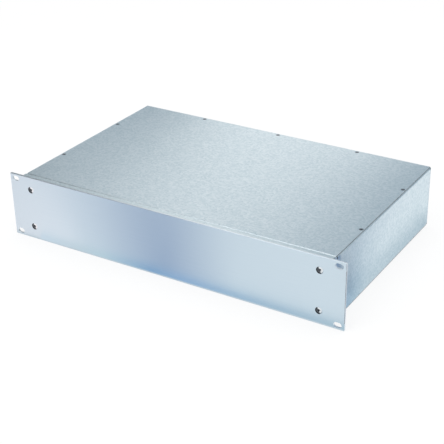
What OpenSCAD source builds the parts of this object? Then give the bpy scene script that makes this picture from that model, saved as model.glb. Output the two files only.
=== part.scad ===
// Rack mount chassis, two height units: an empty box of folded zinc-coated sheet behind an aluminium
// front panel with rack slots. Millimetres, X across the width, Y from the front to the rear, Z up.
// The origin is the middle of the width and of the depth, level with the panel's lower edge.

/* [Front panel] */
// Width of the front panel, 19 inches
panel_w = 482.6; // [480:0.1:500]
// Height of the front panel, two units less a working gap
panel_h = 88.1; // [87.5:0.1:100]
// Thickness of the front panel
panel_t = 2.5; // [2.4:0.1:4]
// Radius of the panel's corners
panel_corner_r = 1; // [0.5:0.1:3]
// Width of the broken edge round the panel's face
panel_edge = 0.3; // [0.1:0.1:0.6]

/* [Rack slots] */
// Distance between the left and right rack slots
slot_pitch_x = 465.1; // [462:0.1:466]
// Distance between the lower and upper rack slots
slot_pitch_z = 76.2; // [70:0.1:77]
// Length of a rack slot, end to end
slot_l = 10.3; // [8:0.1:11]
// Width of a rack slot
slot_w = 6.8; // [5.5:0.1:7.5]

/* [Body] */
// Width across the side walls
body_w = 448; // [430:0.5:450]
// Height over both covers
body_h = 85; // [80:0.5:87]
// Depth from the back of the front panel to the rear face
body_d = 283.5; // [200:0.5:450]

/* [Sheet] */
// Thickness of the folded sheet
sheet_t = 1; // [0.8:0.1:1.2]
// Inner radius of the folds
fold_r = 0.8; // [0.6:0.1:0.9]
// Width of a fold relief cut
relief_w = 2.4; // [1.6:0.1:3]
// How far a relief cut runs past the end of a fold
relief_lap = 0.4; // [0.1:0.1:0.6]
// Width of the side walls' flanges under the covers
cover_flange = 12; // [9:0.5:20]
// Width of the side walls' flanges behind the front panel
front_flange = 26; // [24:0.5:40]
// Width of the side walls' flanges inside the rear panel
rear_flange = 16; // [12:0.5:30]
// Depth of the rear panel's flanges under the covers
rear_panel_flange = 12; // [9:0.5:20]

/* [Covers] */
// How far a cover's edges stay inside the side walls' and the rear panel's faces
cover_inset = 1; // [0.4:0.1:1.5]
// Distance between the two screws along a side edge
side_screw_pitch = 121.5; // [60:0.5:160]
// Distance between neighbouring screws along the rear edge
rear_screw_pitch = 120.4; // [60:0.1:160]
// Fold angle of the joggle at a cover's front edge
joggle_angle = 60; // [50:1:75]
// Length of the tongue that hooks under a rail
tongue_l = 4.6; // [3:0.1:4.8]

/* [Front rails] */
// Depth of a rail's visible strip
rail_d = 8.2; // [7:0.1:12]
// Height of a rail
rail_h = 11; // [8:0.1:16]
// Depth of the stiffening lip on a rail's inner edge
rail_lip = 6; // [4:0.1:7]
// Distance from the body's sides to the rail screws
rail_screw_inset = 6.5; // [6:0.1:7.5]

/* [Fasteners] */
// Thread diameter of the panel screws
panel_screw_d = 4; // [3.5:0.1:4.2]
// Head diameter of the panel screws
panel_head_d = 7.4; // [6.5:0.1:8]
// How far the panel screws' heads sit below the panel's face
panel_head_sink = 0.8; // [0.2:0.1:0.9]
// Outer diameter of the panel screws' press nuts
panel_nut_d = 8; // [7:0.1:9]
// Distance from the body's sides to the panel screws
panel_screw_inset = 15.5; // [14:0.1:18]
// Margin of the rails' offset tabs above and below the panel screws' nuts
panel_nut_margin = 1.15; // [0.5:0.05:4]
// Thread diameter of the sheet screws
sheet_screw_d = 3; // [2.5:0.1:3.2]
// Head diameter of the sheet screws
sheet_head_d = 5.6; // [5:0.1:5.8]
// How far the sheet screws' heads sit below the sheet's face
sheet_head_sink = 0.1; // [0:0.05:0.2]
// Outer diameter of the sheet screws' press nuts
sheet_nut_d = 5.6; // [5.2:0.1:5.7]
// Height of a press nut's body below the sheet
nut_h = 1.6; // [1.2:0.1:2.5]
// Wall of a press nut's shank round the thread
nut_wall = 0.65; // [0.5:0.05:0.8]
// Length of thread that shows past a nut
screw_end = 0.8; // [0.4:0.1:1.5]
// Distance from the body's sides to the rear panel's screws
rear_screw_inset = 9; // [6:0.1:10]
// Distance from the body's top and bottom to the rear panel's screws
rear_screw_drop = 16; // [10:0.5:30]

/* [Clearances] */
// Gap between the edges of neighbouring sheets
sheet_gap = 0.3; // [0.2:0.05:0.6]
// Gap between the ends of a rail or a tongue and the side walls
end_gap = 0.5; // [0.3:0.05:1]
// Gap between a press nut and the fold beside it
nut_fold_gap = 0.1; // [0.05:0.05:1]
// Radial gap round screws, nuts and heads
fit_gap = 0.05; // [0.02:0.01:0.1]

/* [Hidden] */

$fn = 48;
// Overrun of cutting shapes
over = 1;

// Proportions of a cross recess: its span and its wings' width to the head's diameter, its end to
// its mouth, and its depth past the head to the thread's diameter
recess_share = 0.54;
wing_share = 0.15;
recess_taper = 0.45;
recess_below = 0.2;

// Colours of the three finishes
anodised = [0.80, 0.83, 0.86];
zinc = [0.68, 0.73, 0.76];
screw_steel = [0.35, 0.37, 0.40];

// Main faces of the body
half_w = body_w / 2;
total_d = panel_t + body_d;
panel_y = -total_d / 2;
front_y = panel_y + panel_t;
rear_y = total_d / 2;
mid_y = (front_y + rear_y) / 2;
mid_z = panel_h / 2;
top_z = mid_z + body_h / 2;
bottom_z = mid_z - body_h / 2;

// Folds
fold_out = fold_r + sheet_t;
frame_h = body_h - 2 * sheet_t;
web_h = frame_h - 2 * fold_out;

// Rail, tongue and joggle, along the depth
rail_back_y = front_y + rail_d;
rail_tab = panel_nut_d + 2 * panel_nut_margin;
joggle_mean_r = sheet_t / (2 * (1 - cos(joggle_angle)));
joggle_run = 2 * joggle_mean_r * sin(joggle_angle);
joggle_r = joggle_mean_r - sheet_t / 2;
joggle = [[joggle_angle, joggle_r], [-joggle_angle, joggle_r]];
joggle_y = rail_back_y + sheet_gap + joggle_run;
flange_y = joggle_y + sheet_gap;
cover_rear_y = rear_y - cover_inset;
cover_w = body_w - 2 * cover_inset;
inner_w = body_w - 2 * (sheet_t + end_gap);

// Side walls
side_rear_y = rear_y - sheet_t;
flange_end_y = side_rear_y - fold_out;
front_flange_h = body_h - 2 * (rail_h + sheet_gap);
flange_x = half_w - front_flange;

// Fastener lengths and places
sheet_screw_l = 2 * sheet_t + nut_h + screw_end;
panel_screw_l = panel_t + sheet_screw_l;
panel_screw_z = body_h / 2 - rail_h - rail_tab / 2;
rear_screw_z = body_h / 2 - rear_screw_drop;
cover_screw_inset = fold_out + nut_fold_gap + sheet_nut_d / 2;
cover_side_x = half_w - cover_screw_inset;
cover_rear_screw_y = rear_y - cover_screw_inset;

// Folded sheet

// Profile of a folded strip, drawn from the origin along +X with the sheet above the X axis.
// A number is a flat length. A list holds a turn in degrees, positive upwards, and its inner radius.
module folded(steps, i = 0) {
  if (i < len(steps)) {
    step = steps[i];
    if (is_num(step)) {
      square([step, sheet_t]);
      translate([step, 0])
        folded(steps, i + 1);
    } else {
      turn = step[0];
      up = turn > 0;
      centre_y = up ? sheet_t + step[1] : -step[1];
      translate([0, centre_y]) {
        fold_sector(turn, step[1]);
        rotate(turn)
          translate([0, -centre_y])
            folded(steps, i + 1);
      }
    }
  }
}

// Curved part of a fold, round its own centre, starting under it for an upward turn and over it otherwise
module fold_sector(turn, inner_r) {
  outer_r = inner_r + sheet_t;
  reach = 2 * outer_r;
  side = turn > 0 ? -1 : 1;
  intersection() {
    difference() {
      circle(r = outer_r);
      circle(r = inner_r);
    }
    polygon([[0, 0], [0, side * reach], [reach * sin(abs(turn)), side * reach * cos(turn)]]);
  }
}

// Stands a profile drawn in depth and height along the width
module across(from_x, to_x) {
  translate([from_x, 0, 0])
    rotate([90, 0, 90])
      linear_extrude(height = to_x - from_x)
        children();
}

// Stands a profile drawn in width and height along the depth
module along(from_y, to_y) {
  translate([0, to_y, 0])
    rotate([90, 0, 0])
      linear_extrude(height = to_y - from_y)
        children();
}

// Relief cut with a round end, open towards +Y of its drawing
module relief(width, depth) {
  circle(d = width);
  translate([-width / 2, 0])
    square([width, depth]);
}

// Children and their mirror image across the width
module both_sides() {
  children();
  mirror([1, 0, 0])
    children();
}

// Children at the top of the body, turned over at the bottom for an underside
module upper(is_top) {
  translate([0, 0, mid_z])
    mirror([0, 0, is_top ? 0 : 1])
      translate([0, 0, -mid_z])
        children();
}

// Fasteners, along their own Z with the outer face of the clamped sheet at zero

// Right-angled cone with its wide end at a height, and a shank from its middle down to the end
module countersunk(d, head_d, head_z, end_z) {
  head_r = head_d / 2;
  translate([0, 0, head_z - head_r])
    cylinder(r1 = 0, r2 = head_r, h = head_r);
  translate([0, 0, end_z])
    cylinder(d = d, h = head_z - (head_d - d) / 4 - end_z);
}

// Hole that takes a screw, its countersink carried on past the face
module screw_hole(d, head_d, sink, length) {
  mouth_d = head_d + 2 * (fit_gap + sink + over);
  countersunk(d + 2 * fit_gap, mouth_d, over, -length - over);
}

// Cross recess: four wings that narrow with depth
module cross_recess(d, head_d, sink) {
  wing_l = head_d * recess_share;
  wing_w = head_d * wing_share;
  depth = (head_d - d) / 2 + d * recess_below;
  translate([0, 0, -sink - depth])
    intersection() {
      cylinder(d1 = wing_l * recess_taper, d2 = wing_l, h = depth + fit_gap);
      for (turn = [0, 90])
        rotate(turn)
          translate([-wing_l / 2, -wing_w / 2, 0])
            cube([wing_l, wing_w, depth + over]);
    }
}

// Machine screw with a cross recess
module screw(d, head_d, sink, length) {
  difference() {
    countersunk(d, head_d, -sink, -length);
    cross_recess(d, head_d, sink);
  }
}

// Press nut: a shank that fills the sheet's hole from inner_z up to outer_z, and a body below it
module press_nut(d, nut_d, outer_z, inner_z) {
  root_z = inner_z - nut_h / 2;
  translate([0, 0, root_z])
    cylinder(d = d + 2 * nut_wall, h = outer_z - root_z);
  translate([0, 0, inner_z - nut_h])
    cylinder(d = nut_d, h = nut_h);
}

// Hole in the sheet that carries a press nut
module nut_hole(d) {
  translate([0, 0, -over])
    cylinder(d = d + 2 * (nut_wall + fit_gap), h = sheet_t + 2 * over);
}

// Sheet screws clamp one sheet on another that carries the nut

module sheet_screw() {
  screw(sheet_screw_d, sheet_head_d, sheet_head_sink, sheet_screw_l);
}

module sheet_screw_hole() {
  screw_hole(sheet_screw_d, sheet_head_d, sheet_head_sink, sheet_screw_l);
}

module sheet_nut() {
  difference() {
    press_nut(sheet_screw_d, sheet_nut_d, -sheet_t - fit_gap, -2 * sheet_t);
    sheet_screw_hole();
  }
}

module sheet_nut_hole() {
  translate([0, 0, -2 * sheet_t])
    nut_hole(sheet_screw_d);
}

// Panel screws clamp the front panel and the side walls' front flanges on the rails' tabs

module panel_screw() {
  screw(panel_screw_d, panel_head_d, panel_head_sink, panel_screw_l);
}

module panel_screw_hole() {
  screw_hole(panel_screw_d, panel_head_d, panel_head_sink, panel_screw_l);
}

module panel_nut() {
  difference() {
    press_nut(panel_screw_d, panel_nut_d, -panel_t - sheet_t - fit_gap, -panel_t - 2 * sheet_t);
    panel_screw_hole();
  }
}

module panel_nut_hole() {
  translate([0, 0, -panel_t - 2 * sheet_t])
    nut_hole(panel_screw_d);
}

// Places of the fasteners, with +Z out of the clamped face

module at_cover_sides(is_top) {
  for (step = [-1, 1])
    upper(is_top)
      translate([cover_side_x, mid_y + step * side_screw_pitch / 2, top_z])
        children();
}

module at_cover_rear(is_top) {
  for (step = [-1, 0, 1])
    upper(is_top)
      translate([step * rear_screw_pitch, cover_rear_screw_y, top_z])
        children();
}

module at_panel_screws() {
  for (side = [-1, 1])
    translate([half_w - panel_screw_inset, panel_y, mid_z + side * panel_screw_z])
      rotate([90, 0, 0])
        children();
}

module at_rail_screws(is_top) {
  upper(is_top)
    translate([half_w - rail_screw_inset, front_y, mid_z + panel_screw_z])
      rotate([90, 0, 0])
        children();
}

module at_rear_screws() {
  for (side = [-1, 1])
    translate([half_w - rear_screw_inset, rear_y, mid_z + side * rear_screw_z])
      rotate([-90, 0, 0])
        children();
}

// Front panel

module rack_slot() {
  run = slot_l - slot_w;
  for (side = [-1, 1])
    translate([side * run / 2, 0, 0])
      cylinder(d = slot_w, h = panel_t + 2 * over, center = true);
  cube([run, slot_w, panel_t + 2 * over], center = true);
}

module panel_outline() {
  straight_w = panel_w - 2 * panel_corner_r;
  straight_h = panel_h - 2 * panel_corner_r;
  square([straight_w, panel_h], center = true);
  square([panel_w, straight_h], center = true);
  for (x = [-1, 1])
    for (z = [-1, 1])
      translate([x * straight_w / 2, z * straight_h / 2])
        circle(r = panel_corner_r);
}

// Wedge that breaks one edge of the panel's face, along X
module edge_break(length) {
  rotate([45, 0, 0])
    cube([length + 2 * over, panel_edge * sqrt(2), panel_edge * sqrt(2)], center = true);
}

module front_panel() {
  color(anodised)
    difference() {
      translate([0, 0, mid_z])
        along(panel_y, front_y)
          panel_outline();
      for (x = [-1, 1])
        for (z = [-1, 1])
          translate([x * slot_pitch_x / 2, (panel_y + front_y) / 2, mid_z + z * slot_pitch_z / 2])
            rotate([90, 0, 0])
              rack_slot();
      both_sides()
        at_panel_screws()
          panel_screw_hole();
      for (z = [0, panel_h])
        translate([0, panel_y, z])
          edge_break(panel_w);
      for (x = [-1, 1])
        translate([x * panel_w / 2, panel_y, mid_z])
          rotate([0, 90, 0])
            edge_break(panel_h);
    }
}

// Side walls

// Wall with its top and bottom flanges, drawn in width and height for the right side
module side_channel() {
  flat = cover_flange - fold_out;
  translate([half_w - cover_flange, bottom_z + sheet_t])
    folded([flat, [90, fold_r], web_h, [90, fold_r], flat]);
}

// Front fold of the wall with its flange, drawn in width and depth
module side_front() {
  translate([flange_x, front_y])
    folded([front_flange - fold_out, [90, fold_r], fold_out]);
}

// Flat stretch of the wall between its front fold and its top and bottom folds
module side_flat() {
  start_y = front_y + fold_out;
  translate([half_w - sheet_t, start_y, mid_z - web_h / 2])
    cube([sheet_t, flange_y + over - start_y, web_h]);
}

// Flat corner of the wall that closes the end of a rail
module side_ear(is_top) {
  start_y = front_y + sheet_gap;
  end_y = flange_y + relief_lap - relief_w / 2;
  ear_z = (front_flange_h - relief_lap) / 2;
  upper(is_top)
    translate([half_w - sheet_t, start_y, mid_z + ear_z])
      cube([sheet_t, end_y - start_y, body_h / 2 - sheet_gap - ear_z]);
}

// Rear end of the wall with its flange, drawn in width and depth
module side_rear() {
  mirror([0, 1])
    translate([half_w - rear_flange, -side_rear_y])
      folded([rear_flange - fold_out, [90, fold_r], fold_out]);
}

// Cuts that free the ends of the wall's folds: before the top flange, above the front flange and at
// the rear corner
module side_reliefs(is_top) {
  fold_z = top_z - sheet_t - fold_out;
  upper(is_top)
    across(half_w - fold_out, half_w + over) {
      translate([flange_y + relief_lap - relief_w / 2, fold_z])
        relief(relief_w, body_h);
      translate([front_y + fold_out, mid_z + (front_flange_h + relief_w) / 2 - relief_lap])
        rotate(90)
          relief(relief_w, body_d);
      translate([flange_end_y, fold_z])
        circle(d = relief_w);
    }
}

module side_wall() {
  difference() {
    union() {
      along(flange_y, flange_end_y)
        side_channel();
      translate([0, 0, mid_z - front_flange_h / 2])
        linear_extrude(height = front_flange_h)
          side_front();
      translate([0, 0, mid_z - web_h / 2])
        linear_extrude(height = web_h)
          side_rear();
      side_flat();
      side_ear(true);
      side_ear(false);
    }
    for (is_top = [true, false]) {
      side_reliefs(is_top);
      at_cover_sides(is_top)
        sheet_nut_hole();
      at_rail_screws(is_top)
        sheet_screw_hole();
    }
    at_panel_screws()
      panel_screw_hole();
    at_rear_screws()
      sheet_nut_hole();
  }
}

module right_side() {
  color(zinc)
    side_wall();
}

module left_side() {
  color(zinc)
    mirror([1, 0, 0])
      side_wall();
}

// Rear panel: a channel under the covers, with a flat wing behind each side wall

module rear_panel() {
  flat = rear_panel_flange - fold_out;
  flange_end_x = half_w - cover_flange - sheet_gap;
  wing_x = flange_end_x - relief_lap / 2;
  wing_h = frame_h - 2 * sheet_gap;
  color(zinc)
    difference() {
      union() {
        across(-flange_end_x, flange_end_x)
          translate([rear_y - rear_panel_flange, bottom_z + sheet_t])
            folded([flat, [90, fold_r], web_h, [90, fold_r], flat]);
        both_sides()
          translate([wing_x, rear_y - sheet_t, mid_z - wing_h / 2])
            cube([half_w - sheet_gap - wing_x, sheet_t, wing_h]);
      }
      for (is_top = [true, false]) {
        both_sides()
          upper(is_top)
            along(rear_y - fold_out, rear_y + over)
              translate([flange_end_x - relief_lap + relief_w / 2, top_z - sheet_t - fold_out])
                relief(relief_w, body_h);
        at_cover_rear(is_top)
          sheet_nut_hole();
      }
      both_sides()
        at_rear_screws()
          sheet_screw_hole();
    }
}

// Covers

module cover(is_top) {
  color(zinc)
    difference() {
      upper(is_top) {
        translate([-cover_w / 2, joggle_y, top_z - sheet_t])
          cube([cover_w, cover_rear_y - joggle_y, sheet_t]);
        across(-inner_w / 2, inner_w / 2)
          translate([joggle_y + over, top_z])
            rotate(180)
              folded(concat([over], joggle, [tongue_l]));
      }
      both_sides()
        at_cover_sides(is_top)
          sheet_screw_hole();
      at_cover_rear(is_top)
        sheet_screw_hole();
    }
}

module top_cover() {
  cover(true);
}

module bottom_cover() {
  cover(false);
}

// Front rails

// Strip and web of a rail, followed by what hangs on the web, drawn in depth and height
module rail_profile(below) {
  translate([rail_back_y, top_z])
    rotate(180)
      folded(concat([rail_d - fold_out, [90, fold_r]], below));
}

// Channel between the side walls' flanges, with an offset tab behind each flange
module rail_sheet() {
  across(-flange_x, flange_x)
    rail_profile([rail_h - 2 * fold_out, [90, fold_r], rail_lip - fold_out]);
  both_sides()
    across(flange_x - relief_lap, inner_w / 2)
      rail_profile(concat([rail_h - fold_out - joggle_run], joggle, [rail_tab]));
}

// Cuts beside an offset tab: a relief next to the lip, and the room for the side wall's fold
module tab_cuts() {
  step_z = top_z - rail_h + max(joggle_run, fold_out);
  along(front_y - over, front_y + rail_lip + over) {
    translate([flange_x - relief_w / 2, step_z])
      rotate(180)
        relief(relief_w, body_h);
    translate([half_w - fold_out - end_gap, step_z - body_h])
      square([fold_out + end_gap, body_h]);
  }
}

module rail(is_top) {
  color(zinc)
    difference() {
      upper(is_top)
        difference() {
          rail_sheet();
          both_sides()
            tab_cuts();
        }
      both_sides() {
        at_rail_screws(is_top)
          sheet_nut_hole();
        at_panel_screws()
          panel_nut_hole();
      }
    }
}

module front_top_rail() {
  rail(true);
}

module front_bottom_rail() {
  rail(false);
}

// Fastener groups

module front_panel_screws() {
  color(screw_steel)
    both_sides()
      at_panel_screws()
        panel_screw();
}

module front_panel_nuts() {
  color(zinc)
    both_sides()
      at_panel_screws()
        panel_nut();
}

module top_cover_side_screws() {
  color(screw_steel)
    both_sides()
      at_cover_sides(true)
        sheet_screw();
}

module top_cover_rear_screws() {
  color(screw_steel)
    at_cover_rear(true)
      sheet_screw();
}

module bottom_cover_side_screws() {
  color(screw_steel)
    both_sides()
      at_cover_sides(false)
        sheet_screw();
}

module bottom_cover_rear_screws() {
  color(screw_steel)
    at_cover_rear(false)
      sheet_screw();
}

// Press nuts of one side wall, for both covers
module side_cover_nuts() {
  for (is_top = [true, false])
    at_cover_sides(is_top)
      sheet_nut();
}

module right_cover_nuts() {
  color(zinc)
    side_cover_nuts();
}

module left_cover_nuts() {
  color(zinc)
    mirror([1, 0, 0])
      side_cover_nuts();
}

module rear_cover_nuts() {
  color(zinc)
    for (is_top = [true, false])
      at_cover_rear(is_top)
        sheet_nut();
}

module rail_screws(is_top) {
  color(screw_steel)
    both_sides()
      at_rail_screws(is_top)
        sheet_screw();
}

module rail_nuts(is_top) {
  color(zinc)
    both_sides()
      at_rail_screws(is_top)
        sheet_nut();
}

module top_rail_screws() {
  rail_screws(true);
}

module top_rail_nuts() {
  rail_nuts(true);
}

module bottom_rail_screws() {
  rail_screws(false);
}

module bottom_rail_nuts() {
  rail_nuts(false);
}

module rear_panel_screws() {
  color(screw_steel)
    both_sides()
      at_rear_screws()
        sheet_screw();
}

module rear_panel_nuts() {
  color(zinc)
    both_sides()
      at_rear_screws()
        sheet_nut();
}

front_panel();
left_side();
right_side();
rear_panel();
top_cover();
bottom_cover();
front_top_rail();
front_bottom_rail();
front_panel_screws();
front_panel_nuts();
top_cover_side_screws();
top_cover_rear_screws();
bottom_cover_side_screws();
bottom_cover_rear_screws();
left_cover_nuts();
right_cover_nuts();
rear_cover_nuts();
top_rail_screws();
top_rail_nuts();
bottom_rail_screws();
bottom_rail_nuts();
rear_panel_screws();
rear_panel_nuts();
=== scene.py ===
"""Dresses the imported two-unit rack mount chassis and sets it in a plain white studio.

The sheets and the panel keep their CAD shapes and get their finishes here. The screws are made again with
threads and turned recesses. Lengths are metres unless a name ends in _mm.
"""

from __future__ import annotations

import logging
import math
from dataclasses import dataclass
from enum import Enum

import bmesh
import bpy
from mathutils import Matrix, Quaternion, Vector

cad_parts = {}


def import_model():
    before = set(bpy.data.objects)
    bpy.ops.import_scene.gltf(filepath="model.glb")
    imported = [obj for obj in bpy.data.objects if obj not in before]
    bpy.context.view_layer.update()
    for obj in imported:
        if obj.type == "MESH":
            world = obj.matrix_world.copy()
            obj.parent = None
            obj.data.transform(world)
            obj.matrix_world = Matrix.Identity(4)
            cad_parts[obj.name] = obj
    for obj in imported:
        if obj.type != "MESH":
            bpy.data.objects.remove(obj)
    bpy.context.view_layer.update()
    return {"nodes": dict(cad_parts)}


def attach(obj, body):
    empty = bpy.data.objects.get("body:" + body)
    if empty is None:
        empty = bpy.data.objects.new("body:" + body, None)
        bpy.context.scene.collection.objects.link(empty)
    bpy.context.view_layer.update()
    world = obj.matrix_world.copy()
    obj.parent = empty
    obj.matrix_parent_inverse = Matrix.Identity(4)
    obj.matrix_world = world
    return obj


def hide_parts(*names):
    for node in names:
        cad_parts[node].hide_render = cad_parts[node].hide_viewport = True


LOG = logging.getLogger("chassis")
BODY = "root"
SCREW_AXIS = "screw_axis"
CARD_TONE = "tone"
WHITE = "#FFFFFF"
MM = 0.001

Colour = tuple[float, float, float, float]
Point = tuple[float, float, float]
Row = tuple[Point, ...]
Box = tuple[Vector, Vector]
Nodes = dict[str, bpy.types.Object]
Tree = bpy.types.NodeTree
Socket = bpy.types.NodeSocket


class Facing(Enum):
    """The way a screw's head looks, out of the face that it holds."""

    FRONT = (0.0, -1.0, 0.0)
    REAR = (0.0, 1.0, 0.0)
    TOP = (0.0, 0.0, 1.0)
    BOTTOM = (0.0, 0.0, -1.0)


def linear(code: str) -> Colour:
    """Turns an sRGB colour into the linear values that shaders take.

    Args:
        code: The colour as six hex digits after a hash.

    Returns:
        Linear red, green and blue, and full alpha.
    """
    parts = [int(code[i : i + 2], 16) / 255 for i in (1, 3, 5)]
    red, green, blue = (c / 12.92 if c <= 0.04045 else ((c + 0.055) / 1.055) ** 2.4 for c in parts)
    return red, green, blue, 1.0


def add_node(
    tree: Tree,
    kind: str,
    settings: dict[str | int, object] | None = None,
    links: dict[str | int, Socket | tuple[Socket, ...]] | None = None,
) -> bpy.types.Node:
    """Adds a node to a tree.

    Args:
        tree: The tree that gets the node.
        kind: Blender's name for the type of node.
        settings: Values by the name of a property, or by the name or number of an input.
        links: Outputs of other nodes, one or several, by the name or number of the input that takes them.

    Returns:
        The new node.
    """
    node = tree.nodes.new(kind)
    for name, value in (settings or {}).items():
        if isinstance(name, str) and hasattr(node, name):
            setattr(node, name, value)
        else:
            node.inputs[name].default_value = value
    for name, sources in (links or {}).items():
        for source in sources if isinstance(sources, tuple) else (sources,):
            tree.links.new(source, node.inputs[name])
    return node


def add_object(name: str, data: bpy.types.ID) -> bpy.types.Object:
    """Makes an object and puts it in the scene.

    Args:
        name: The object's name.
        data: Its mesh, lamp or camera.

    Returns:
        The new object.
    """
    thing = bpy.data.objects.new(name, data)
    bpy.context.scene.collection.objects.link(thing)
    return thing


def new_material(name: str) -> tuple[bpy.types.Material, Tree]:
    """Makes a material with an empty node tree.

    Args:
        name: The material's name.

    Returns:
        The material and its tree.
    """
    material = bpy.data.materials.new(name)
    material.use_nodes = True
    material.node_tree.nodes.clear()
    return material, material.node_tree


def object_pattern(tree: Tree, cell_mm: Point) -> Socket:
    """Gives Object coordinates in which one unit is one cell of a pattern.

    Args:
        tree: The material's tree.
        cell_mm: The cell's size along X, Y and Z.

    Returns:
        The scaled coordinates.
    """
    place = add_node(tree, "ShaderNodeTexCoord").outputs["Object"]
    scale = tuple(1 / (size * MM) for size in cell_mm)
    return add_node(tree, "ShaderNodeMapping", {"Scale": scale}, {"Vector": place}).outputs["Vector"]


def slanted(tree: Tree, axis: str, steepness: float) -> Socket:
    """Finds the cut edges and slopes of a flat sheet or plate.

    Args:
        tree: The material's tree.
        axis: The letter of the axis that the sheet's faces look along.
        steepness: The share of a surface's direction along that axis below which it counts.

    Returns:
        One on the edges and slopes, and nought on the faces.
    """
    normal = add_node(tree, "ShaderNodeTexCoord").outputs["Normal"]
    slope = add_node(tree, "ShaderNodeSeparateXYZ", links={"Vector": normal}).outputs[axis]
    flatness = add_node(tree, "ShaderNodeMath", {"operation": "ABSOLUTE"}, {0: slope}).outputs[0]
    settings = {"operation": "LESS_THAN", 1: steepness}
    return add_node(tree, "ShaderNodeMath", settings, {0: flatness}).outputs[0]


def in_band(tree: Tree, axis: str, middle_mm: float, half_mm: float) -> Socket:
    """Finds the part of a piece that lies between two levels.

    Args:
        tree: The material's tree.
        axis: The letter of the axis that the levels are on.
        middle_mm: The level in the middle of the band.
        half_mm: Half the band's width.

    Returns:
        One in the band and nought outside it.
    """
    place = add_node(tree, "ShaderNodeTexCoord").outputs["Object"]
    along = add_node(tree, "ShaderNodeSeparateXYZ", links={"Vector": place}).outputs[axis]
    settings = {"operation": "COMPARE", 1: middle_mm * MM, 2: half_mm * MM}
    return add_node(tree, "ShaderNodeMath", settings, {0: along}).outputs[0]


def looking(tree: Tree, way: Point) -> Socket:
    """Finds the surfaces that look a given way.

    Args:
        tree: The material's tree.
        way: The direction, along the piece's own axes.

    Returns:
        One where a surface looks more that way than away from it, and nought elsewhere.
    """
    normal = add_node(tree, "ShaderNodeTexCoord").outputs["Normal"]
    settings = {"operation": "DOT_PRODUCT", 1: way}
    share = add_node(tree, "ShaderNodeVectorMath", settings, {0: normal}).outputs["Value"]
    settings = {"operation": "GREATER_THAN", 1: 0.0}
    return add_node(tree, "ShaderNodeMath", settings, {0: share}).outputs[0]


def off_centre(tree: Tree, way: Point, beyond_mm: float) -> Socket:
    """Finds the side of each screw that lies past a line beside its axis.

    Args:
        tree: The material's tree.
        way: The direction from the axis to that side, along the piece's own axes.
        beyond_mm: The line's distance from the axis.

    Returns:
        One past the line and nought before it.
    """
    place = add_node(tree, "ShaderNodeTexCoord").outputs["Object"]
    axis = add_node(tree, "ShaderNodeAttribute", {"attribute_name": SCREW_AXIS}).outputs["Vector"]
    settings = {"operation": "SUBTRACT"}
    offset = add_node(tree, "ShaderNodeVectorMath", settings, {0: place, 1: axis}).outputs["Vector"]
    settings = {"operation": "DOT_PRODUCT", 1: way}
    reach = add_node(tree, "ShaderNodeVectorMath", settings, {0: offset}).outputs["Value"]
    settings = {"operation": "GREATER_THAN", 1: beyond_mm * MM}
    return add_node(tree, "ShaderNodeMath", settings, {0: reach}).outputs[0]


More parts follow.
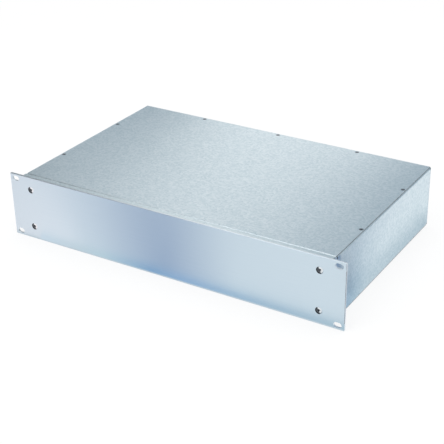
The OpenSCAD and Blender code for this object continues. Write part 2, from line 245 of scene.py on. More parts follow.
@dataclass(frozen=True)
class BrushedAluminium:
    """Aluminium plate, brushed along its length, milled bright on its edges and natural anodised.

    The brush leaves fine lines along X, so light spreads up and down the face in tall soft streaks.
    The real lines are near 0.1 mm wide: they are drawn coarser so that they show. The countersinks lie
    in the band between the rows of slots. Their sides that look to the right and up are painted dark
    as painted shade.
    """

    dark: str = "#C5D4DE"
    light: str = "#CDDAE3"
    milled: str = "#E8EFF4"
    edge_steepness: float = 0.3
    # Painted shade on the countersinks' sides that look to the right and up, and the mask that finds them
    shade: str = "#34373B"
    shaded_side: Point = (0.9, 0.0, 0.42)
    cone_steepness: float = 0.9
    screw_band_middle_mm: float = 44.05
    screw_band_half_mm: float = 34.0
    line_length_mm: float = 70.0
    line_width_mm: float = 1.1
    line_depth_mm: float = 0.004
    line_detail: float = 3.0
    line_contrast: float = 0.6
    roughness: tuple[float, float] = (0.35, 0.41)
    anisotropy: float = 0.8

    def build(self) -> bpy.types.Material:
        """Makes the material.

        Returns:
            The finish, ready to go on a piece.
        """
        material, tree = new_material("brushed_anodised_aluminium")
        cell = (self.line_length_mm, self.line_width_mm, self.line_width_mm)
        lines = add_node(
            tree,
            "ShaderNodeTexNoise",
            {"Scale": 1.0, "Detail": self.line_detail, "Roughness": self.line_contrast},
            {"Vector": object_pattern(tree, cell)},
        ).outputs["Fac"]
        bump = add_node(
            tree,
            "ShaderNodeBump",
            {"Strength": 1.0, "Distance": self.line_depth_mm * MM},
            {"Height": lines},
        )
        tangent = add_node(tree, "ShaderNodeTangent", {"direction_type": "RADIAL", "axis": "X"})
        smooth, rough = self.roughness
        settings = {"To Min": smooth, "To Max": rough}
        roughness = add_node(tree, "ShaderNodeMapRange", settings, {"Value": lines})
        shader = add_node(
            tree,
            "ShaderNodeBsdfPrincipled",
            {"Metallic": 1.0, "Anisotropic": self.anisotropy},
            {
                "Base Color": self._colour(tree, lines),
                "Roughness": roughness.outputs["Result"],
                "Normal": bump.outputs["Normal"],
                "Tangent": tangent.outputs["Tangent"],
            },
        )
        add_node(tree, "ShaderNodeOutputMaterial", links={"Surface": shader.outputs["BSDF"]})
        return material

    def _colour(self, tree: Tree, lines: Socket) -> Socket:
        """Lays the countersinks' painted shade and the milled edges over the brushed face.

        Args:
            tree: The material's tree.
            lines: The pattern of the brushed lines.

        Returns:
            The colour.
        """
        # Painted shade: the countersinks' sides that look to the right and up, inside the band of the
        # screws
        shaded = in_band(tree, "Z", self.screw_band_middle_mm, self.screw_band_half_mm)
        for mask in (slanted(tree, "Y", self.cone_steepness), looking(tree, self.shaded_side)):
            links = {0: shaded, 1: mask}
            shaded = add_node(tree, "ShaderNodeMath", {"operation": "MULTIPLY"}, links).outputs[0]
        settings = {"data_type": "RGBA", "A": linear(self.dark), "B": linear(self.light)}
        colour = add_node(tree, "ShaderNodeMix", settings, {"Factor": lines}).outputs["Result"]
        edges = slanted(tree, "Y", self.edge_steepness)
        for code, mask in ((self.shade, shaded), (self.milled, edges)):
            settings = {"data_type": "RGBA", "B": linear(code)}
            links = {"Factor": mask, "A": colour}
            colour = add_node(tree, "ShaderNodeMix", settings, links).outputs["Result"]
        return colour


@dataclass(frozen=True)
class ZincSheet:
    """Cold-rolled steel sheet with a hot-dip zinc coat of fine spangle.

    Each small crystal of zinc is a little lighter, darker, smoother or more tilted than the next,
    so the sheet looks evenly speckled, with faint clouds from the dip.
    """

    name: str = "spangled_zinc_sheet"
    dark: str = "#C6D6DD"
    light: str = "#DFE9EE"
    # Cut edges' colour: bare steel, darkened further as painted shade for the gaps beside the edges
    cut_edge_and_shade: str | None = None
    edge_steepness: float = 0.3
    spangle_mm: float = 2.4
    spangle_depth_mm: float = 0.02
    cloud_mm: float = 55.0
    cloud_detail: float = 2.0
    cloud_share: float = 0.2
    roughness: tuple[float, float] = (0.30, 0.42)

    def build(self) -> bpy.types.Material:
        """Makes the material.

        Returns:
            The finish, ready to go on a piece.
        """
        material, tree = new_material(self.name)
        spangle = add_node(
            tree,
            "ShaderNodeTexVoronoi",
            {"Scale": 1.0, "Randomness": 1.0},
            {"Vector": object_pattern(tree, (self.spangle_mm,) * 3)},
        ).outputs["Color"]
        crystal = add_node(tree, "ShaderNodeSeparateColor", links={"Color": spangle}).outputs
        bump = add_node(
            tree,
            "ShaderNodeBump",
            {"Strength": 1.0, "Distance": self.spangle_depth_mm * MM},
            {"Height": crystal["Blue"]},
        )
        smooth, rough = self.roughness
        settings = {"To Min": smooth, "To Max": rough}
        roughness = add_node(tree, "ShaderNodeMapRange", settings, {"Value": crystal["Green"]})
        shader = add_node(
            tree,
            "ShaderNodeBsdfPrincipled",
            {"Metallic": 1.0},
            {
                "Base Color": self._colour(tree, crystal["Red"]),
                "Roughness": roughness.outputs["Result"],
                "Normal": bump.outputs["Normal"],
            },
        )
        add_node(tree, "ShaderNodeOutputMaterial", links={"Surface": shader.outputs["BSDF"]})
        return material

    def _colour(self, tree: Tree, crystal: Socket) -> Socket:
        """Mixes the coat's two tones by crystal and cloud, and lays the cut edges' colour over them.
        That colour is bare steel, darkened further as painted shade for the gaps beside the edges.

        Args:
            tree: The material's tree.
            crystal: A value by chance for each crystal.

        Returns:
            The colour.
        """
        cloud = add_node(
            tree,
            "ShaderNodeTexNoise",
            {"Scale": 1.0, "Detail": self.cloud_detail},
            {"Vector": object_pattern(tree, (self.cloud_mm,) * 3)},
        )
        tone = add_node(
            tree,
            "ShaderNodeMix",
            {"data_type": "FLOAT", "Factor": self.cloud_share},
            {"A": crystal, "B": cloud.outputs["Fac"]},
        ).outputs["Result"]
        settings = {"data_type": "RGBA", "A": linear(self.dark), "B": linear(self.light)}
        colour = add_node(tree, "ShaderNodeMix", settings, {"Factor": tone}).outputs["Result"]
        # Cut edges: bare steel, darkened further as painted shade for the gaps beside the covers' edges
        if self.cut_edge_and_shade:
            settings = {"data_type": "RGBA", "B": linear(self.cut_edge_and_shade)}
            links = {"Factor": slanted(tree, "Z", self.edge_steepness), "A": colour}
            colour = add_node(tree, "ShaderNodeMix", settings, links).outputs["Result"]
        return colour


@dataclass(frozen=True)
class PlatedSteel:
    """Turned or pressed steel, plated in a barrel.

    The barrel leaves small lighter and darker spots, so the soft shine is a little uneven. A screw that is
    sunk into a plate can have one side of its head painted dark, as painted shade of the countersink.
    """

    name: str
    dark: str
    light: str
    roughness: tuple[float, float]
    mottle_mm: float = 0.8
    mottle_detail: float = 3.0
    # Painted shade on the side of each head that lies left of and below its axis
    shade: str | None = None
    shaded_side: Point = (-0.9, 0.0, -0.42)
    shade_from_mm: float = 0.5

    def build(self) -> bpy.types.Material:
        """Makes the material.

        Returns:
            The finish, ready to go on a piece.
        """
        material, tree = new_material(self.name)
        mottle = add_node(
            tree,
            "ShaderNodeTexNoise",
            {"Scale": 1.0, "Detail": self.mottle_detail},
            {"Vector": object_pattern(tree, (self.mottle_mm,) * 3)},
        ).outputs["Fac"]
        settings = {"data_type": "RGBA", "A": linear(self.dark), "B": linear(self.light)}
        colour = add_node(tree, "ShaderNodeMix", settings, {"Factor": mottle}).outputs["Result"]
        # Painted shade over the side of the head past the line beside its axis
        if self.shade:
            settings = {"data_type": "RGBA", "B": linear(self.shade)}
            shaded = off_centre(tree, self.shaded_side, self.shade_from_mm)
            links = {"Factor": shaded, "A": colour}
            colour = add_node(tree, "ShaderNodeMix", settings, links).outputs["Result"]
        smooth, rough = self.roughness
        settings = {"To Min": smooth, "To Max": rough}
        roughness = add_node(tree, "ShaderNodeMapRange", settings, {"Value": mottle})
        shader = add_node(
            tree,
            "ShaderNodeBsdfPrincipled",
            {"Metallic": 1.0},
            {"Base Color": colour, "Roughness": roughness.outputs["Result"]},
        )
        add_node(tree, "ShaderNodeOutputMaterial", links={"Surface": shader.outputs["BSDF"]})
        return material


@dataclass(frozen=True)
class DressedGroup:
    """CAD nodes of one finish that keep their shapes."""

    nodes: tuple[str, ...]
    finish: BrushedAluminium | ZincSheet | PlatedSteel

    def build(self, cad: Nodes) -> None:
        """Makes the finish and dresses the nodes in it.

        Args:
            cad: The frame's nodes by name.
        """
        material = self.finish.build()
        for name in self.nodes:
            node = cad[name]
            node.data.materials.clear()
            node.data.materials.append(material)
            LOG.info("%s dressed in %s", node.name, material.name)


def solid_boxes(node: bpy.types.Object, weld: float = 0.001 * MM, decimals: int = 5) -> list[Box]:
    """Finds the box of each separate solid in a CAD node.

    Args:
        node: The node's object.
        weld: The distance within which the loose triangles' corners are one point.
        decimals: The decimals of a place that count when the boxes are sorted.

    Returns:
        The lowest and highest corners of each solid, sorted by place.
    """
    mesh = bmesh.new()
    mesh.from_mesh(node.data)
    bmesh.ops.remove_doubles(mesh, verts=mesh.verts, dist=weld)
    waiting = set(mesh.verts)
    boxes: list[Box] = []
    while waiting:
        edge_of_island = [waiting.pop()]
        points: list[Vector] = []
        while edge_of_island:
            vert = edge_of_island.pop()
            points.append(vert.co.copy())
            others = {edge.other_vert(vert) for edge in vert.link_edges} & waiting
            waiting -= others
            edge_of_island.extend(others)
        low = Vector(min(p[i] for p in points) for i in range(3))
        high = Vector(max(p[i] for p in points) for i in range(3))
        boxes.append((low, high))
    mesh.free()
    return sorted(boxes, key=lambda box: tuple(round(c, decimals) for c in box[0]))


class ScrewTree:
    """Geometry Nodes tree that makes countersunk machine screws at points.

    The tree's inputs are the screw's sizes. Each screw is turned about its own axis by chance, with a fixed
    seed, as screws are when they are tightened. It keeps its axis's place as an attribute for the painted
    shade.
    """

    HEAD_SEGMENTS = 64
    SHANK_SEGMENTS = 32
    THREAD_SEGMENTS = 20
    RIDGE_SEGMENTS = 5
    RIDGE_SHARE = 0.45
    RECESS_TAPER = 0.45
    OVERRUN = 0.2 * MM
    QUARTER_TURN = math.pi / 2
    INPUTS = {
        "Places": "Geometry",
        "Axis": "Vector",
        "Finish": "Material",
        "Seed": "Int",
        "Head Diameter": "Float",
        "Thread Diameter": "Float",
        "Thread Pitch": "Float",
        "Length": "Float",
        "Recess Span": "Float",
        "Recess Wing": "Float",
        "Recess Depth": "Float",
    }
    # What follows from the inputs: the result's name, the sum, and the two values in it
    SUMS = (
        ("head radius", "DIVIDE", "Head Diameter", 2.0),
        ("thread radius", "DIVIDE", "Thread Diameter", 2.0),
        ("head height", "SUBTRACT", "head radius", "thread radius"),
        ("head foot", "MULTIPLY", "head height", -1.0),
        ("ridge radius", "MULTIPLY", "Thread Pitch", RIDGE_SHARE),
        ("ridge width", "MULTIPLY", "ridge radius", 2.0),
        ("core radius", "SUBTRACT", "thread radius", "ridge radius"),
        ("half recess", "DIVIDE", "Recess Depth", 2.0),
        ("core length", "SUBTRACT", "Length", "half recess"),
        ("half core", "DIVIDE", "core length", 2.0),
        ("core middle", "SUBTRACT", "half core", "Length"),
        ("length below head", "SUBTRACT", "Length", "head height"),
        ("thread height", "SUBTRACT", "length below head", "ridge width"),
        ("thread turns", "DIVIDE", "thread height", "Thread Pitch"),
        ("thread foot", "SUBTRACT", "ridge radius", "Length"),
        ("recess radius", "DIVIDE", "Recess Span", 2.0),
        ("recess end radius", "MULTIPLY", "recess radius", RECESS_TAPER),
        ("recess height", "ADD", "Recess Depth", OVERRUN),
        ("recess foot", "MULTIPLY", "Recess Depth", -1.0),
        ("wing length", "MULTIPLY", "Recess Span", 2.0),
        ("wing middle", "DIVIDE", "recess height", 2.0),
    )
    # The results that are heights to which parts are moved
    HEIGHTS = ("head foot", "core middle", "thread foot", "wing middle", "recess foot")

    def __init__(self) -> None:
        """Makes the tree with its inputs and nodes."""
        self.tree = bpy.data.node_groups.new("countersunk_screws", "GeometryNodeTree")
        face = self.tree.interface
        for name, kind in self.INPUTS.items():
            face.new_socket(name, in_out="INPUT", socket_type="NodeSocket" + kind)
        face.new_socket("Screws", in_out="OUTPUT", socket_type="NodeSocketGeometry")
        given = add_node(self.tree, "NodeGroupInput").outputs
        self.values: dict[str, Socket] = {name: given[name] for name in self.INPUTS}
        self.places: dict[str, Socket] = {}
        self._work_out()
        self._place(self._screw())

    def _work_out(self) -> None:
        """Works out the values and places that follow from the inputs."""
        for name, operation, first, second in self.SUMS:
            settings: dict[str | int, object] = {"operation": operation}
            links = {0: self.values[first]}
            if isinstance(second, str):
                links[1] = self.values[second]
            else:
                settings[1] = second
            self.values[name] = add_node(self.tree, "ShaderNodeMath", settings, links).outputs[0]
        for name in self.HEIGHTS:
            links = {"Z": self.values[name]}
            self.places[name] = add_node(self.tree, "ShaderNodeCombineXYZ", links=links).outputs[0]

    def _blank(self) -> Socket:
        """Makes the head's cone, with its top at nought, on the thread's core.

        Returns:
            The screw's solid, with no recess and no thread yet.
        """
        cone = add_node(
            self.tree,
            "GeometryNodeMeshCone",
            {"Vertices": self.HEAD_SEGMENTS},
            {
                "Radius Top": self.values["head radius"],
                "Radius Bottom": self.values["thread radius"],
                "Depth": self.values["head height"],
            },
        )
        cylinder = add_node(
            self.tree,
            "GeometryNodeMeshCylinder",
            {"Vertices": self.SHANK_SEGMENTS},
            {"Radius": self.values["core radius"], "Depth": self.values["core length"]},
        )
        parts = []
        for mesh, height in ((cone, "head foot"), (cylinder, "core middle")):
            links = {"Geometry": mesh.outputs["Mesh"], "Translation": self.places[height]}
            parts.append(add_node(self.tree, "GeometryNodeTransform", links=links).outputs[0])
        settings = {"operation": "UNION", "solver": "EXACT"}
        links = {"Mesh 2": tuple(parts)}
        return add_node(self.tree, "GeometryNodeMeshBoolean", settings, links).outputs["Mesh"]

    def _wing(self, turn: float) -> Socket:
        """Makes one slot of the cross recess, narrowing with depth.

        Args:
            turn: The slot's turn about the screw's axis.

        Returns:
            The slot as a solid to cut with.
        """
        cone = add_node(
            self.tree,
            "GeometryNodeMeshCone",
            {"Vertices": self.SHANK_SEGMENTS},
            {
                "Radius Top": self.values["recess radius"],
                "Radius Bottom": self.values["recess end radius"],
                "Depth": self.values["recess height"],
            },
        )
        size = add_node(
            self.tree,
            "ShaderNodeCombineXYZ",
            links={
                "X": self.values["wing length"],
                "Y": self.values["Recess Wing"],
                "Z": self.values["recess height"],
            },
        )
        bar = add_node(self.tree, "GeometryNodeMeshCube", links={"Size": size.outputs[0]})
        turned = add_node(
            self.tree,
            "GeometryNodeTransform",
            {"Rotation": (0.0, 0.0, turn)},
            {"Geometry": bar.outputs["Mesh"], "Translation": self.places["wing middle"]},
        )
        both = add_node(
            self.tree,
            "GeometryNodeMeshBoolean",
            {"operation": "INTERSECT", "solver": "EXACT"},
            {"Mesh 2": (cone.outputs["Mesh"], turned.outputs[0])},
        )
        links = {"Geometry": both.outputs["Mesh"], "Translation": self.places["recess foot"]}
        return add_node(self.tree, "GeometryNodeTransform", links=links).outputs[0]

    def _thread(self) -> Socket:
        """Makes the thread's ridge as a rounded wire wound on the core.

        Returns:
            The ridge's mesh.
        """
        spiral = add_node(
            self.tree,
            "GeometryNodeCurveSpiral",
            {"Resolution": self.THREAD_SEGMENTS},
            {
                "Rotations": self.values["thread turns"],
                "Start Radius": self.values["core radius"],
                "End Radius": self.values["core radius"],
                "Height": self.values["thread height"],
            },
        )
        profile = add_node(
            self.tree,
            "GeometryNodeCurvePrimitiveCircle",
            {"Resolution": self.RIDGE_SEGMENTS},
            {"Radius": self.values["ridge radius"]},
        )
        wire = add_node(
            self.tree,
            "GeometryNodeCurveToMesh",
            {"Fill Caps": True},
            {"Curve": spiral.outputs["Curve"], "Profile Curve": profile.outputs["Curve"]},
        )
        links = {"Geometry": wire.outputs["Mesh"], "Translation": self.places["thread foot"]}
        return add_node(self.tree, "GeometryNodeTransform", links=links).outputs[0]

    def _screw(self) -> Socket:
        """Makes one screw, head up, with its top at nought.

        Returns:
            The screw's mesh.
        """
        cut = add_node(
            self.tree,
            "GeometryNodeMeshBoolean",
            {"operation": "DIFFERENCE", "solver": "EXACT"},
            {"Mesh 1": self._blank(), "Mesh 2": (self._wing(0.0), self._wing(self.QUARTER_TURN))},
        )
        parts = (cut.outputs["Mesh"], self._thread())
        return add_node(self.tree, "GeometryNodeJoinGeometry", links={"Geometry": parts}).outputs[0]

    def _place(self, screw: Socket) -> None:
        """Puts the screw at each point, looking along the axis.

        Args:
            screw: The screw's mesh.
        """
        aim = add_node(
            self.tree,
            "FunctionNodeAlignRotationToVector",
            {"axis": "Z"},
            {"Vector": self.values["Axis"]},
        )
        chance = add_node(
            self.tree,
            "FunctionNodeRandomValue",
            {"data_type": "FLOAT", "Min": 0.0, "Max": self.QUARTER_TURN},
            {"Seed": self.values["Seed"]},
        )
        turn = add_node(
            self.tree,
            "FunctionNodeAxisAngleToRotation",
            {"Axis": (0.0, 0.0, 1.0)},
            {"Angle": chance.outputs["Value"]},
        )
        tightened = add_node(
            self.tree,
            "FunctionNodeRotateRotation",
            {"rotation_space": "LOCAL"},
            {"Rotation": aim.outputs[0], "Rotate By": turn.outputs[0]},
        )
        placed = add_node(
            self.tree,
            "GeometryNodeInstanceOnPoints",
            links={"Points": self.values["Places"], "Instance": screw, "Rotation": tightened.outputs[0]},
        )
        # The axis's place, from which the finish paints shade on one side of each head
        position = add_node(self.tree, "GeometryNodeInputPosition").outputs[0]
        marked = add_node(
            self.tree,
            "GeometryNodeStoreNamedAttribute",
            {"data_type": "FLOAT_VECTOR", "domain": "INSTANCE", "Name": SCREW_AXIS},
            {"Geometry": placed.outputs[0], "Value": position},
        )
        real = add_node(self.tree, "GeometryNodeRealizeInstances", links={"Geometry": marked.outputs[0]})
        finished = add_node(
            self.tree,
            "GeometryNodeSetMaterial",
            links={"Geometry": real.outputs[0], "Material": self.values["Finish"]},
        )
        add_node(self.tree, "NodeGroupOutput", links={"Screws": finished.outputs[0]})

    def identifier(self, name: str) -> str:
        """Finds the identifier of an input.

        Args:
            name: The input's name.

        Returns:
            The key that a modifier takes for it.
        """
        sockets = self.tree.interface.items_tree
        return next(s.identifier for s in sockets if s.in_out == "INPUT" and s.name == name)


@dataclass(frozen=True)
class ScrewSet:
    """A group of like countersunk screws that stands for one CAD node."""

    node: str
    facing: Facing
    thread_mm: float
    pitch_mm: float
    seed: int = 1
    recess_span_share: float = 0.54
    recess_wing_share: float = 0.15
    recess_below_share: float = 0.2
    smooth_deg: float = 30.0

    def build(self, cad: Nodes, tree: ScrewTree, finish: bpy.types.Material) -> None:
        """Makes the screws where the CAD node's solids are, and shows them in its place.

        Args:
            cad: The frame's nodes by name.
            tree: The tree that makes screws.
            finish: The screws' material.
        """
        boxes = solid_boxes(cad[self.node])
        piece = self._mesh_object(boxes, tree, finish)
        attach(piece, BODY)
        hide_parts(self.node)
        LOG.info("%s: %d screws, %d faces", piece.name, len(boxes), len(piece.data.polygons))

    def _sizes(self, box: Box) -> dict[str, float]:
        """Works out the tree's sizes from one solid's box.

        Args:
            box: The box of a screw.

        Returns:
            Each size by the name of the tree's input.
        """
        axis = Vector(self.facing.value)
        extent = box[1] - box[0]
        head = max(c for c, along in zip(extent, axis) if not along)
        thread = self.thread_mm * MM
        return {
            "Head Diameter": head,
            "Thread Diameter": thread,
            "Thread Pitch": self.pitch_mm * MM,
            "Length": abs(extent.dot(axis)),
            "Recess Span": head * self.recess_span_share,
            "Recess Wing": head * self.recess_wing_share,
            "Recess Depth": (head - thread) / 2 + thread * self.recess_below_share,
        }

    def _mesh_object(
        self, boxes: list[Box], tree: ScrewTree, finish: bpy.types.Material
    ) -> bpy.types.Object:
        """Runs the tree on the screws' places and keeps its result as a plain mesh.

        Args:
            boxes: The box of each screw.
            tree: The tree that makes screws.
            finish: The screws' material.

        Returns:
            The finished object.
        """
        axis = Vector(self.facing.value)
        half = abs((boxes[0][1] - boxes[0][0]).dot(axis)) / 2
        points = bpy.data.meshes.new(self.node + "_places")
        points.from_pydata([(low + high) / 2 + axis * half for low, high in boxes], [], [])
        maker = add_object(self.node + "_maker", points)
        modifier = maker.modifiers.new("screws", "NODES")
        modifier.node_group = tree.tree
        values = {"Axis": self.facing.value, "Finish": finish, "Seed": self.seed, **self._sizes(boxes[0])}
        for name, value in values.items():
            modifier[tree.identifier(name)] = value
        seen = maker.evaluated_get(bpy.context.evaluated_depsgraph_get())
        mesh = bpy.data.meshes.new_from_object(seen)
        maker.modifiers.clear()
        bpy.data.objects.remove(maker)
        mesh.shade_smooth()
        mesh.set_sharp_from_angle(angle=math.radians(self.smooth_deg))
        mesh.materials.clear()
        mesh.materials.append(finish)
        return add_object(self.node + "_threaded", mesh)


@dataclass(frozen=True)
class Fasteners:
    """Every screw of the chassis."""

    finish: PlatedSteel
    panel_finish: PlatedSteel
    sheet_thread_mm: float = 3.0
    sheet_pitch_mm: float = 0.5
    panel_thread_mm: float = 4.0
    panel_pitch_mm: float = 0.7
    sheet_sets: tuple[tuple[str, Facing], ...] = (
        ("top_cover_side_screws", Facing.TOP),
        ("top_cover_rear_screws", Facing.TOP),
        ("bottom_cover_side_screws", Facing.BOTTOM),
        ("bottom_cover_rear_screws", Facing.BOTTOM),
        ("top_rail_screws", Facing.FRONT),
        ("bottom_rail_screws", Facing.FRONT),
        ("rear_panel_screws", Facing.REAR),
    )

    def build(self, cad: Nodes) -> None:
        """Makes all the screws.

        Args:
            cad: The frame's nodes by name.
        """
        tree = ScrewTree()
        panel = ScrewSet("front_panel_screws", Facing.FRONT, self.panel_thread_mm, self.panel_pitch_mm)
        panel.build(cad, tree, self.panel_finish.build())
        steel = self.finish.build()
        for seed, (node, facing) in enumerate(self.sheet_sets, start=panel.seed + 1):
            screws = ScrewSet(node, facing, self.sheet_thread_mm, self.sheet_pitch_mm, seed)
            screws.build(cad, tree, steel)


@dataclass(frozen=True)
class SoftBox:
    """A square studio lamp that faces the object."""

    name: str
    place: Point
    aim: Point
    side: float
    watts: float

    def build(self) -> None:
        """Makes the lamp, which neither the camera nor a shiny surface shows as a bright square."""
        lamp = bpy.data.lights.new(self.name, "AREA")
        lamp.shape = "SQUARE"
        lamp.size = self.side
        lamp.energy = self.watts
        holder = add_object(self.name, lamp)
        holder.location = self.place
        way = Vector(self.aim) - Vector(self.place)
        holder.rotation_euler = way.to_track_quat("-Z", "Y").to_euler()
        holder.visible_camera = False
        holder.visible_glossy = False
        LOG.info("lamp %s", self.name)


def along_x(xs: tuple[float, ...], y: float, z: float) -> Row:
    """Gives a row of points along X."""
    return tuple((x, y, z) for x in xs)


def along_y(x: float, ys: tuple[float, ...], z: float) -> Row:
    """Gives a row of points along Y."""
    return tuple((x, y, z) for y in ys)


def level(places: tuple[tuple[float, float], ...], z: float) -> Row:
    """Gives a row of points at one height."""
    return tuple((x, y, z) for x, y in places)


@dataclass(frozen=True)
class GradedCard:
    """A card with a graded tone beside the object, which only shiny surfaces that face it show.

    Its columns run from a near edge to a far edge, and the tone changes from column to column.
    """

    name: str
    near: Row
    far: Row
    tones: tuple[str, ...]
    strength: float = 1.0

    def build(self) -> None:
        """Makes the card as part of the stage."""
        count = len(self.tones)
        faces = [(i, count + i, count + i + 1, i + 1) for i in range(count - 1)]
        mesh = bpy.data.meshes.new(self.name)
        mesh.from_pydata([*self.near, *self.far], [], faces)
        tone = mesh.color_attributes.new(CARD_TONE, "FLOAT_COLOR", "POINT")
        for number, code in enumerate(self.tones * 2):
            tone.data[number].color = linear(code)
        mesh.materials.append(self._paper())
        card = add_object(self.name, mesh)
        card.visible_camera = False
        card.visible_diffuse = False
        card.visible_shadow = False
        LOG.info("card %s", self.name)

    def _paper(self) -> bpy.types.Material:
        """Makes paper that shows its tone on the front and nothing on the back.

        Returns:
            The card's material.
        """
        material, tree = new_material(self.name)
        tone = add_node(tree, "ShaderNodeAttribute", {"attribute_name": CARD_TONE}).outputs["Color"]
        glow = add_node(tree, "ShaderNodeEmission", {"Strength": self.strength}, {"Color": tone}).outputs[0]
        clear = add_node(tree, "ShaderNodeBsdfTransparent").outputs[0]
        facing = add_node(tree, "ShaderNodeNewGeometry").outputs["Backfacing"]
        mix = add_node(tree, "ShaderNodeMixShader", links={0: facing, 1: glow, 2: clear})
        add_node(tree, "ShaderNodeOutputMaterial", links={"Surface": mix.outputs[0]})
        return material


@dataclass(frozen=True)
class PhotoCamera:
    """The camera at the photograph's viewing angle, fitted to edges, slots and screws of the chassis."""

    azimuth_deg: float = 32.02
    elevation_deg: float = 27.42
    roll_deg: float = 1.13
    distance: float = 1.4364
    aim: Point = (0.0056, -0.0216, 0.0242)
    focal_mm: float = 89.45
    sensor_mm: float = 36.0

    def build(self) -> None:
        """Makes the camera and gives it to the scene."""
        turn = math.radians(self.azimuth_deg)
        rise = math.radians(self.elevation_deg)
        back = Vector((math.sin(turn) * math.cos(rise), -math.cos(turn) * math.cos(rise), math.sin(rise)))
        lens = bpy.data.cameras.new("photo_camera")
        lens.sensor_width = self.sensor_mm
        lens.lens = self.focal_mm
        camera = add_object("photo_camera", lens)
        camera.location = Vector(self.aim) + back * self.distance
        roll = Quaternion(-back, math.radians(self.roll_deg))
        camera.rotation_euler = (roll @ (-back).to_track_quat("-Z", "Y")).to_euler()
        bpy.context.scene.camera = camera
        LOG.info("camera at %s", tuple(round(c, 3) for c in camera.location))


@dataclass(frozen=True)
class Studio:
    """White floor and background, soft lamps, graded cards and the camera."""

    floor_side: float = 60.0
    floor_colour: str = "#F4F5F6"
    floor_glow: float = 0.8
    shadow_reach: float = 0.5
    white_from: float = 1.6
    ambient: float = 0.9
    lamps: tuple[SoftBox, ...] = (
        SoftBox("top_softbox", place=(0.25, 0.1, 2.2), aim=(0.0, 0.0, 0.04), side=2.0, watts=15.0),
        SoftBox("front_softbox", place=(-0.5, -1.6, 1.5), aim=(0.0, 0.0, 0.04), side=1.2, watts=8.0),
    )
    cards: tuple[GradedCard, ...] = (
        GradedCard(
            "front_floor_card",
            near=along_x((-0.26, -0.15, -0.11, 0.0, 0.10, 0.26), -0.147, 0.001),
            far=level(
                ((-2.4, -1.1), (-2.1, -1.45), (-2.0, -1.6), (-1.7, -1.9), (-1.3, -2.15), (-0.9, -2.3)),
                z=0.5,
            ),
            tones=("#EAE4E4", "#EFEAEA", "#D8DADE", "#A2ACBF", "#DADCDD", "#DFE0E0"),
            strength=1.5,
        ),
        # Painted shadow: a bluish card on the floor at the panel's foot, where the floor is in shade, which
        # the panel's lower part reflects
        GradedCard(
            "foot_card",
            near=along_x((-0.20, -0.145, -0.097, -0.024, 0.03, 0.097, 0.26), -0.1435, 0.0015),
            far=along_x((-0.21, -0.155, -0.107, -0.034, 0.02, 0.087, 0.25), -0.155, 0.0045),
            tones=("#ECF2F7", "#E4EAEC", "#D6E4E8", "#93B4D3", "#A4BFDC", "#AFC7DA", "#C2D1D6"),
            strength=1.25,
        ),
        GradedCard(
            "left_card",
            near=((-1.25, 1.0, 0.25), (-1.25, 0.4, 0.25), (-1.25, 0.3, 0.7), (-1.25, -1.0, 0.7)),
            far=along_y(-1.25, (1.0, 0.4, 0.3, -1.0), 2.2),
            tones=("#24292C",) * 4,
        ),
        GradedCard(
            "front_left_card",
            near=level(((-1.6, -0.6), (-1.05, -1.2), (-0.75, -1.45)), 0.3),
            far=level(((-1.6, -0.6), (-1.05, -1.2), (-0.75, -1.45)), 2.1),
            tones=("#181C1E", "#181C1E", WHITE),
        ),
        GradedCard(
            "rear_card",
            near=along_x((1.0, 0.32, 0.26, -0.075, -0.10, -0.4), 0.45, 0.0),
            far=along_x((0.26, -0.48, -0.65, -0.86, -1.12, -1.3), 0.45, 0.9),
            tones=("#A3B0BA", "#A3B0BA", WHITE, WHITE, "#8A98A3", "#B4BEC5"),
            strength=1.07,
        ),
        # Its dark front columns are painted shadow: the floor in the ear's shade beside the side wall,
        # which the side wall reflects
        GradedCard(
            "side_floor_card",
            near=along_y(0.2245, (-0.14, -0.112, -0.103, -0.083, -0.045, 0.15), 0.0003),
            far=level(
                ((0.75, 0.70), (0.70, 0.818), (0.68, 0.837), (0.65, 0.952), (0.6, 1.05), (0.5, 1.4)),
                z=0.005,
            ),
            tones=("#26446C", "#26446C", "#B0CADE", "#F6FAFC", WHITE, "#DCE4E8"),
            strength=1.15,
        ),
        # Painted shade on the floor along the side's foot, darker towards the panel
        GradedCard(
            "side_foot_card",
            near=along_y(0.2245, (-0.14, -0.10, -0.05, 0.145), 0.0009),
            far=along_y(0.25, (-0.085, -0.045, 0.005, 0.20), 0.0009),
            tones=("#84A1C6", "#B4CBDC", "#DCE6EC", "#D0DCE3"),
        ),
        # Painted shade: a dark card between the ear and the side wall, which the side wall's front shows
        # through the slots
        GradedCard(
            "ear_shade_card",
            near=along_x((0.25, 0.2285), -0.118, 0.0),
            far=along_x((0.25, 0.2285), -0.118, 0.087),
            tones=("#6C86AB",) * 2,
        ),
        GradedCard(
            "overhead_card",
            near=along_x((-1.1, -0.8, -0.4), -1.7, 1.5),
            far=along_x((-1.2, -0.9, -0.55), 0.0, 2.0),
            tones=("#9AA2A8", WHITE, WHITE),
            strength=2.4,
        ),
        GradedCard(
            "camera_card",
            near=level(((0.25, -1.75), (1.45, -0.95)), 0.45),
            far=level(((0.25, -1.75), (1.45, -0.95)), 1.45),
            tones=("#A4AFB6",) * 2,
        ),
        # Painted shade: a dark card on the floor beside the ear, for the shade that the side wall's front
        # shows
        GradedCard(
            "right_floor_card",
            near=along_y(0.26, (-0.2, -0.16), 0.001),
            far=level(((0.9, -0.9), (1.2, -0.3)), 0.001),
            tones=("#30373B",) * 2,
        ),
    )
    camera: PhotoCamera = PhotoCamera()

    def build(self) -> None:
        """Makes the whole studio."""
        bpy.context.scene.view_settings.view_transform = "Standard"
        self._world()
        self._floor()
        for part in (*self.lamps, *self.cards, self.camera):
            part.build()

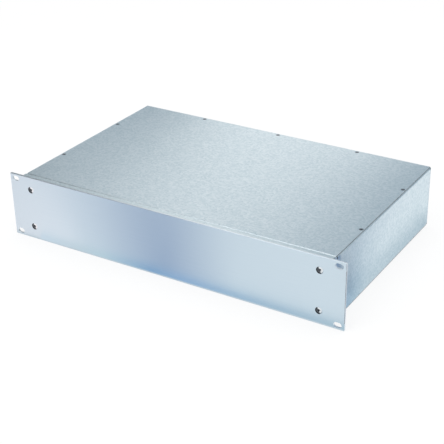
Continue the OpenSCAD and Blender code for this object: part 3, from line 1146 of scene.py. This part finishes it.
    @staticmethod
    def _seen(tree: Tree) -> Socket:
        """Tells rays that show the background, straight, mirrored or through glass, from those that light.

        Args:
            tree: The material's or the world's tree.

        Returns:
            One for a ray that shows the background and nought for any other.
        """
        path = add_node(tree, "ShaderNodeLightPath").outputs
        seen = path["Is Camera Ray"]
        for ray in ("Is Glossy Ray", "Is Transmission Ray"):
            links = {0: seen, 1: path[ray]}
            seen = add_node(tree, "ShaderNodeMath", {"operation": "MAXIMUM"}, links).outputs[0]
        return seen

    def _world(self) -> None:
        """Makes the world white where it is seen, and a plain level of light elsewhere."""
        world = bpy.data.worlds.new("white_studio")
        world.use_nodes = True
        tree = world.node_tree
        tree.nodes.clear()
        settings = {"To Min": self.ambient, "To Max": 1.0}
        strength = add_node(tree, "ShaderNodeMapRange", settings, {"Value": self._seen(tree)})
        sky = add_node(
            tree,
            "ShaderNodeBackground",
            {"Color": linear(WHITE)},
            {"Strength": strength.outputs["Result"]},
        )
        add_node(tree, "ShaderNodeOutputWorld", links={"Surface": sky.outputs[0]})
        world.cycles.sampling_method = "NONE"
        bpy.context.scene.world = world

    def _floor(self) -> None:
        """Makes the floor under the panel's lower edge."""
        half = self.floor_side / 2
        corners = level(((-half, -half), (half, -half), (half, half), (-half, half)), 0.0)
        mesh = bpy.data.meshes.new("floor")
        mesh.from_pydata(corners, [], [range(len(corners))])
        mesh.materials.append(self._floor_paint())
        add_object("floor", mesh)

    def _floor_paint(self) -> bpy.types.Material:
        """Makes paint that is seen mostly white, with a soft shadow, and all white far from the object.

        Returns:
            The floor's material.
        """
        material, tree = new_material("white_floor")
        paint = add_node(tree, "ShaderNodeBsdfDiffuse", {"Color": linear(self.floor_colour)}).outputs[0]
        glow = add_node(tree, "ShaderNodeEmission", {"Color": linear(WHITE), "Strength": 1.0}).outputs[0]
        place = add_node(tree, "ShaderNodeTexCoord").outputs["Object"]
        reach = add_node(tree, "ShaderNodeVectorMath", {"operation": "LENGTH"}, {0: place}).outputs["Value"]
        white = add_node(
            tree,
            "ShaderNodeMapRange",
            {
                "From Min": self.shadow_reach,
                "From Max": self.white_from,
                "To Min": self.floor_glow,
                "To Max": 1.0,
            },
            {"Value": reach},
        )
        links = {0: self._seen(tree), 1: white.outputs["Result"]}
        share = add_node(tree, "ShaderNodeMath", {"operation": "MULTIPLY"}, links).outputs[0]
        mix = add_node(tree, "ShaderNodeMixShader", links={0: share, 1: paint, 2: glow})
        add_node(tree, "ShaderNodeOutputMaterial", links={"Surface": mix.outputs[0]})
        return material


@dataclass(frozen=True)
class Chassis:
    """The whole chassis: panel, folded sheets, press nuts and screws."""

    panel: DressedGroup = DressedGroup(("front_panel",), BrushedAluminium())
    sheets: DressedGroup = DressedGroup(("left_side", "right_side", "rear_panel"), ZincSheet())
    # The covers' cut edges are bare steel, painted darker as the shade of the gaps beside them
    covers: DressedGroup = DressedGroup(
        ("top_cover", "bottom_cover"),
        ZincSheet(name="zinc_cover_edges_painted_shade", cut_edge_and_shade="#6E6A66"),
    )
    # The rails' zinc is painted lighter than the sheets': a painted highlight for the light that the strip
    # in front of the cover catches
    rails: DressedGroup = DressedGroup(
        ("front_top_rail", "front_bottom_rail"),
        ZincSheet(name="zinc_rail_painted_lighter", dark="#CFDDE2", light="#DFEBEF"),
    )
    nuts: DressedGroup = DressedGroup(
        (
            "front_panel_nuts",
            "left_cover_nuts",
            "right_cover_nuts",
            "rear_cover_nuts",
            "top_rail_nuts",
            "bottom_rail_nuts",
            "rear_panel_nuts",
        ),
        PlatedSteel("bright_zinc_plated_steel", dark="#A9B0B6", light="#C3C9CE", roughness=(0.25, 0.4)),
    )
    screws: Fasteners = Fasteners(
        finish=PlatedSteel("dark_plated_steel", dark="#757B82", light="#949AA1", roughness=(0.28, 0.42)),
        # Paler than the other screws, because the lit part of a sunk head is a bright notch
        panel_finish=PlatedSteel(
            "pale_plated_steel",
            dark="#D5DADE",
            light="#E4E8EB",
            roughness=(0.25, 0.4),
            # Painted shade on the side of each sunk head that lies left of and below its axis
            shade="#54585D",
        ),
    )

    def build(self, cad: Nodes) -> None:
        """Dresses the CAD nodes and makes the screws.

        Args:
            cad: The frame's nodes by name.
        """
        for group in (self.panel, self.sheets, self.covers, self.rails, self.nuts, self.screws):
            group.build(cad)


def main() -> None:
    """Loads the frame, dresses the chassis and sets the studio."""
    logging.basicConfig(level=logging.INFO, format="%(message)s")
    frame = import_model()
    Studio().build()
    Chassis().build(frame["nodes"])


if __name__ == "__main__":
    main()
